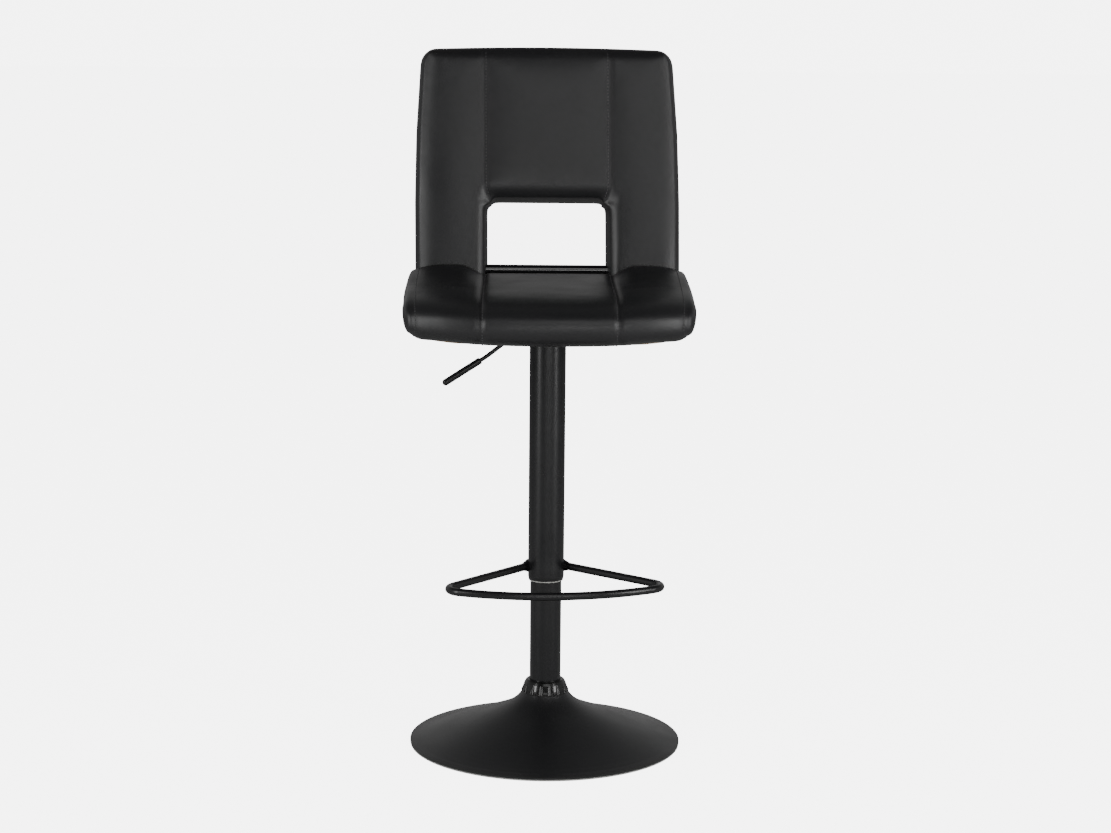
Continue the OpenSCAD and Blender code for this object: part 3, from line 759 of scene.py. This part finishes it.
for i, j in OUTER:
    for m in range(1, BOXING_ROWS):
        t = m / BOXING_ROWS
        u, w = grid_point(i, j, BOXING_OUT * (1 - swell(t)) - 0.8)
        back.at(("o", i, j, m), back_place(u, FRONT_EDGE + (REAR_EDGE - FRONT_EDGE) * t, w))
for i, j in WINDOW:
    for m in range(1, BOXING_ROWS):
        t = m / BOXING_ROWS
        u, w = grid_point(i, j, BOXING_OUT, REAR_CLOSER * t)
        grow = 2.0 * math.sin(math.pi * t)
        # The right jamb was stuffed fuller than the left one
        inward_u = 0 if LEFT_SEAM < i < RIGHT_SEAM else (1 if i == LEFT_SEAM else -2.5)
        inward_w = 0 if WIN_LOW < j < WIN_HIGH else (1 if j == WIN_LOW else -1)
        v = front_depth(i, j) + (REAR_EDGE + 2 - front_depth(i, j)) * t
        back.at(("n", i, j, m), back_place(u + inward_u * grow, v, w + inward_w * grow))
for kind, loop in (("o", OUTER), ("n", WINDOW)):
    for a, b in zip(loop, loop[1:] + loop[:1]):
        rows = [lambda p: ("f", *p)]
        rows += [lambda p, m=m: (kind, *p, m) for m in range(1, BOXING_ROWS)]
        rows += [lambda p: ("r", *p)]
        for low, high in zip(rows, rows[1:]):
            back.cell(low(a), low(b), high(b), high(a))
print("back lattice has", len(back.points), "points")

# %% Hold the back's seams and blow it up
back_held, back_room = {}, {}
outer_set, window_set = set(OUTER), set(WINDOW)
for key, v in back.index.items():
    kind, i, j = key[:3]
    back_room[v] = {"f": 0.0058, "r": 0.002, "o": 0.003, "n": 0.003}[kind]
    if kind in "fr" and ((i, j) in outer_set or (i, j) in window_set):
        back_held[v] = 1.0
    elif kind == "f" and i in (LEFT_SEAM, RIGHT_SEAM) and j >= WIN_HIGH:
        back_held[v] = 1.0
    elif kind == "f" and j < WIN_LOW:
        back_room[v] = 0.0008
        back_held[v] = 0.9
back_cover = back.make("back_upholstery")
blow_up(back_cover, back_held, back_room)
back_seams = [
    [back.index[("f", i, j)] for j in range(WIN_HIGH, UP + 1)] for i in (LEFT_SEAM, RIGHT_SEAM)
]
rims = [
    [back.index[(side, *p)] for p in loop + loop[:1]] for side in "fr" for loop in (OUTER, WINDOW)
]
soften(back_cover, [(p, 0.7) for p in back_seams] + [(p, 0.6) for p in rims])

# %% [markdown]
# ## Stitches
# Each seam has a row of thread beside it. The stitches are many and alike, so Geometry Nodes puts
# them out: a path is cut into even lengths, one short rounded stitch is set on each, turned along
# the path, and the copies are made real so that they travel with the model.


# %% Stitch tree
def stitch_tree():
    tree = bpy.data.node_groups.new("stitches", "GeometryNodeTree")
    face = tree.interface
    face.new_socket("Path", in_out="INPUT", socket_type="NodeSocketGeometry")
    for name, value in (("Pitch", 0.0050), ("Length", 0.0034), ("Radius", 0.0006)):
        face.new_socket(name, in_out="INPUT", socket_type="NodeSocketFloat").default_value = value
    face.new_socket("Thread", in_out="INPUT", socket_type="NodeSocketMaterial")
    face.new_socket("Stitches", in_out="OUTPUT", socket_type="NodeSocketGeometry")
    add = tree.nodes.new
    start, end = add("NodeGroupInput"), add("NodeGroupOutput")
    line, points = add("GeometryNodeMeshToCurve"), add("GeometryNodeCurveToPoints")
    points.mode = "LENGTH"
    thread = add("GeometryNodeMeshIcoSphere")
    thread.inputs["Subdivisions"].default_value = 2  # 80 faces
    thread.inputs["Radius"].default_value = 1.0
    size = add("ShaderNodeCombineXYZ")
    half = add("ShaderNodeMath")
    half.operation = "MULTIPLY"
    half.inputs[1].default_value = 0.5
    put, real = add("GeometryNodeInstanceOnPoints"), add("GeometryNodeRealizeInstances")
    finish = add("GeometryNodeSetMaterial")
    link = tree.links.new
    link(start.outputs["Path"], line.inputs["Mesh"])
    link(line.outputs["Curve"], points.inputs["Curve"])
    link(start.outputs["Pitch"], points.inputs["Length"])
    link(points.outputs["Points"], put.inputs["Points"])
    link(points.outputs["Rotation"], put.inputs["Rotation"])
    link(thread.outputs["Mesh"], put.inputs["Instance"])
    link(start.outputs["Length"], half.inputs[0])
    link(start.outputs["Radius"], size.inputs["X"])
    link(start.outputs["Radius"], size.inputs["Y"])
    link(half.outputs[0], size.inputs["Z"])
    link(size.outputs["Vector"], put.inputs["Scale"])
    link(put.outputs["Instances"], real.inputs["Geometry"])
    link(real.outputs["Geometry"], finish.inputs["Geometry"])
    link(start.outputs["Thread"], finish.inputs["Material"])
    link(finish.outputs["Geometry"], end.inputs["Stitches"])
    return tree


STITCHES = stitch_tree()
FACES_PER_STITCH = 80


def thread_finish():
    finish, tree, shader, coords = new_finish("black_thread")
    twist = noise(tree, coords, 3000, 1)
    tree.links.new(
        colour_between(tree, twist, (0.045, 0.045, 0.047), (0.075, 0.075, 0.078)),
        shader.inputs["Base Color"],
    )
    shader.inputs["Roughness"].default_value = 0.6
    tree.links.new(bump(tree, twist, 0.00005), shader.inputs["Normal"])
    return finish


THREAD = thread_finish()


def sew_rows(name, rows, body):
    """rows: lists of points in metres. One piece holds all the rows of a cushion."""
    mesh = bpy.data.meshes.new(name)
    points, edges = [], []
    for row in rows:
        first = len(points)
        points += row
        edges += [(first + n, first + n + 1) for n in range(len(row) - 1)]
    mesh.from_pydata(points, edges, [])
    path = bpy.data.objects.new(name + "_path", mesh)
    bpy.context.scene.collection.objects.link(path)
    sewn = path.modifiers.new("stitches", "NODES")
    sewn.node_group = STITCHES
    for item in STITCHES.interface.items_tree:
        if item.item_type == "SOCKET" and item.in_out == "INPUT" and item.name == "Thread":
            sewn[item.identifier] = THREAD
    shown = path.evaluated_get(bpy.context.evaluated_depsgraph_get())
    made = bpy.data.meshes.new_from_object(shown)
    bpy.data.objects.remove(path)
    piece = bpy.data.objects.new(name, made)
    bpy.context.scene.collection.objects.link(piece)
    for face in made.polygons:
        face.use_smooth = True
    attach(piece, body)
    print(name, "has", len(made.polygons) // FACES_PER_STITCH, "stitches")


def row_beside(cover, lattice, kind, line, inner, places):
    """Points beside a seam, on the cover's own skin, half a cell towards the next line."""
    row = []
    for place in places:
        seam = cover.data.vertices[lattice.index[(kind, line, place)]]
        beyond = cover.data.vertices[lattice.index[(kind, line + inner, place)]]
        normal = (seam.normal + beyond.normal * 2).normalized()
        row.append(seam.co.lerp(beyond.co, 0.5) + normal * 0.0003)
    return row


# %% Sew the stitches
seat_rows = []
for line, inner, start in ((seam_left, 1, 2), (seam_right, -1, 2), (0, 1, 1), (last, -1, 1)):
    places = range(TOP_FIRST + start, TOP_LAST)
    seat_rows.append(row_beside(seat_cover, seat, "s", line, inner, places))
back_rows = []
for line, inner in ((LEFT_SEAM, 1), (RIGHT_SEAM, -1)):
    places = range(WIN_HIGH + 1, UP)
    back_rows.append(row_beside(back_cover, back, "f", line, inner, places))
sew_rows("seat_stitches", seat_rows, "seat")
sew_rows("back_stitches", back_rows, "seat")

# %% [markdown]
# ## Handing over the soft pieces
# Both covers stand for the plain foam solids of the frame, ride with the seat and take the
# leathercloth finish.

# %% Soft pieces ride with the seat
for cover, nodes, fill in (
    (seat_cover, ("seat_cushion",), 0.8),
    (back_cover, ("back_pad", "rear_cover"), 0.85),
):
    cover.data.materials.clear()
    cover.data.materials.append(finishes["black_leather"])
    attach(cover, "seat")
    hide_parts(*nodes)

# %% [markdown]
# ## Floor, sky and lights
# A product studio is white behind and beside the stool, and dark where the viewer stands. That
# is why a black glossy tube shows pale edges and a dark middle. A high soft box gives the broad
# shine on the back, a low one the band along the seat's front roll, and two tall ones at the
# sides give the narrow shine along the cushions' ends.


# %% Studio
def studio_floor():
    work = bmesh.new()
    bmesh.ops.create_grid(work, x_segments=1, y_segments=1, size=30.0)
    mesh = bpy.data.meshes.new("floor")
    work.to_mesh(mesh)
    work.free()
    floor = bpy.data.objects.new("floor", mesh)
    floor.location.z = -0.0005
    bpy.context.scene.collection.objects.link(floor)
    finish, tree, shader, _ = new_finish("studio_floor")
    shader.inputs["Base Color"].default_value = (0.80, 0.80, 0.80, 1)
    shader.inputs["Roughness"].default_value = 0.9
    shader.inputs["Specular IOR Level"].default_value = 0.0
    shader.inputs["Emission Color"].default_value = (1, 1, 1, 1)
    eye = tree.nodes.new("ShaderNodeLightPath").outputs["Is Camera Ray"]
    glow = tree.nodes.new("ShaderNodeMath")
    glow.operation = "MULTIPLY"
    glow.inputs[1].default_value = 5.7
    tree.links.new(eye, glow.inputs[0])
    tree.links.new(glow.outputs[0], shader.inputs["Emission Strength"])
    mesh.materials.append(finish)


def studio_sky(dark, bright, seen):
    """Dark in front and overhead, bright behind and at the sides; seen is the plain backdrop."""
    world = bpy.data.worlds.new("studio")
    bpy.context.scene.world = world
    world.use_nodes = True
    tree = world.node_tree
    back_light = tree.nodes["Background"]
    back_light.inputs["Color"].default_value = (1, 1, 1, 1)

    def node(kind, **values):
        made = tree.nodes.new(kind)
        for name, value in values.items():
            setattr(made, name, value)
        return made

    def ramp(source, start, end, low, high):
        made = node("ShaderNodeMapRange", interpolation_type="SMOOTHSTEP")
        limits = {"From Min": start, "From Max": end, "To Min": low, "To Max": high}
        for name, value in limits.items():
            made.inputs[name].default_value = value
        tree.links.new(source, made.inputs["Value"])
        return made.outputs["Result"]

    def maths(operation, a, b):
        made = node("ShaderNodeMath", operation=operation)
        for socket, value in zip(made.inputs, (a, b)):
            if isinstance(value, float):
                socket.default_value = value
            else:
                tree.links.new(value, socket)
        return made.outputs[0]

    parts = node("ShaderNodeSeparateXYZ")
    tree.links.new(node("ShaderNodeTexCoord").outputs["Generated"], parts.inputs["Vector"])
    sideways = maths("ABSOLUTE", parts.outputs["X"], 0.0)
    rearness = maths("ADD", parts.outputs["Y"], maths("MULTIPLY", sideways, 0.8))
    level = ramp(rearness, -0.15, 0.55, dark, bright)
    roof = ramp(parts.outputs["Z"], 0.25, 0.8, 1.0, 0.25)
    glow = maths("MULTIPLY", level, roof)
    eye = node("ShaderNodeLightPath").outputs["Is Camera Ray"]
    mixed = node("ShaderNodeMix", data_type="FLOAT")
    tree.links.new(eye, mixed.inputs["Factor"])
    tree.links.new(glow, mixed.inputs["A"])
    mixed.inputs["B"].default_value = seen
    tree.links.new(mixed.outputs["Result"], back_light.inputs["Strength"])


def soft_box(name, place, target, width, height, power):
    lamp = bpy.data.lights.new(name, "AREA")
    lamp.shape = "RECTANGLE"
    lamp.size, lamp.size_y, lamp.energy = width, height, power
    box = bpy.data.objects.new(name, lamp)
    box.location = place
    box.rotation_euler = (Vector(target) - Vector(place)).to_track_quat("-Z", "Y").to_euler()
    bpy.context.scene.collection.objects.link(box)


studio_floor()
studio_sky(dark=0.03, bright=0.46, seen=6.0)
soft_box("box_high", (0.5, -2.5, 2.35), (0, -0.1, 0.7), 2.2, 1.1, 14)
soft_box("box_low", (0.6, -4.3, 0.8), (0, -0.1, 0.6), 3.0, 0.6, 30)
soft_box("box_left", (-2.4, -1.7, 1.2), (0, 0, 0.7), 0.5, 1.8, 36)
soft_box("box_right", (2.4, -1.7, 1.2), (0, 0, 0.7), 0.5, 1.8, 36)
